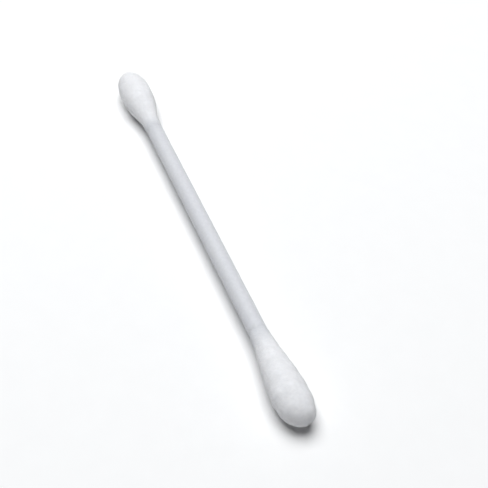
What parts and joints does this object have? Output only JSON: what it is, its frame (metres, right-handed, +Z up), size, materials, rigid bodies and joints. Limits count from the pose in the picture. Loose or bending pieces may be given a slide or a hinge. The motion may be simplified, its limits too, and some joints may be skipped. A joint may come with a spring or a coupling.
{
  "type": "cotton swab",
  "caption": "Double-ended cotton swab: a slim hollow white plastic stem with a rounded bud of wound cotton on each end, for cleaning and applying.",
  "frame": {"origin": "on the surface that the swab lies on, below the middle of its stem", "axes": "+X along the stem towards the bud that is nearer in the picture, +Z up from the surface that the two buds rest on"},
  "size_m": [0.074, 0.0052, 0.005],
  "materials": {
    "stem_plastic": "satin, slightly translucent white",
    "cotton": "wound bleached cotton, matt with short loose fibres"
  },
  "bodies": {
    "root": {"stem": "stem_plastic", "left_bud": "cotton", "right_bud": "cotton"}
  },
  "joints": []
}
